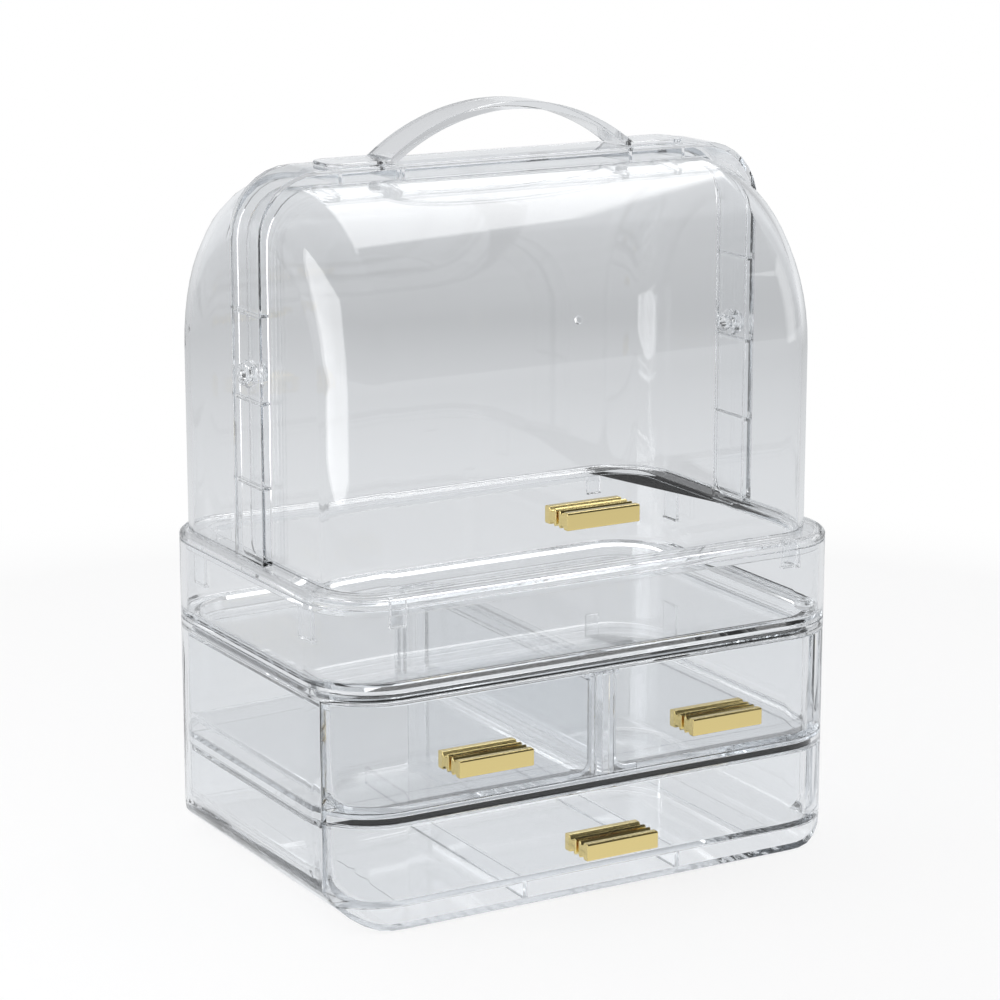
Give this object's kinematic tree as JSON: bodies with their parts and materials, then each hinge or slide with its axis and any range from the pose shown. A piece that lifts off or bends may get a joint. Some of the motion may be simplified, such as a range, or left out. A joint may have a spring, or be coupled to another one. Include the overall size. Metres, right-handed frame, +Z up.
{
  "type": "makeup storage box",
  "caption": "Clear countertop makeup box: swing-up domed lid, carry handle, open tray and pull-out drawers with gold-coloured pulls.",
  "frame": {"origin": "bottom centre of the whole box, pulls included, on the surface it stands on", "axes": "+Z up, -Y towards the front with the lid and the drawers, +X to the right of someone facing the front"},
  "size_m": [0.28, 0.1998, 0.3648],
  "materials": {
    "clear_plastic": "clear, glossy",
    "gold": "polished gold-coloured plating",
    "steel": "plain screw steel"
  },
  "bodies": {
    "box": {"drawer_case": "clear_plastic", "drawer_shelf": "clear_plastic", "drawer_divider": "clear_plastic", "tray": "clear_plastic", "tray_rim": "clear_plastic", "arch_frame": "clear_plastic", "rear_cover": "clear_plastic", "carry_handle": "clear_plastic", "corner_stud": "clear_plastic", "hinge_pin_left": "clear_plastic", "hinge_pin_right": "clear_plastic", "handle_screw_left": "steel", "handle_screw_right": "steel"},
    "lid": {"front_lid": "clear_plastic", "lid_pull": "gold", "lid_pull_back": "gold", "lid_pull_screw_left": "steel", "lid_pull_screw_right": "steel"},
    "low_drawer": {"bottom_drawer": "clear_plastic", "bottom_pull": "gold", "bottom_pull_back": "gold", "bottom_pull_screw_left": "steel", "bottom_pull_screw_right": "steel"},
    "upper_left_drawer": {"left_drawer": "clear_plastic", "left_pull": "gold", "left_pull_back": "gold", "left_pull_screw_left": "steel", "left_pull_screw_right": "steel"},
    "upper_right_drawer": {"right_drawer": "clear_plastic", "right_pull": "gold", "right_pull_back": "gold", "right_pull_screw_left": "steel", "right_pull_screw_right": "steel"}
  },
  "joints": [
    {"name": "lid_hinge", "type": "hinge", "parent": "box", "child": "lid", "pos_m": [0, 0.0044, 0.245], "axis": [-1, 0, 0], "range_deg": [0, 90]},
    {"name": "bottom_drawer_slide", "type": "slide", "parent": "box", "child": "low_drawer", "axis": [0, -1, 0], "range_m": [0, 0.14]},
    {"name": "left_drawer_slide", "type": "slide", "parent": "box", "child": "upper_left_drawer", "axis": [0, -1, 0], "range_m": [0, 0.14]},
    {"name": "right_drawer_slide", "type": "slide", "parent": "box", "child": "upper_right_drawer", "axis": [0, -1, 0], "range_m": [0, 0.14]}
  ]
}
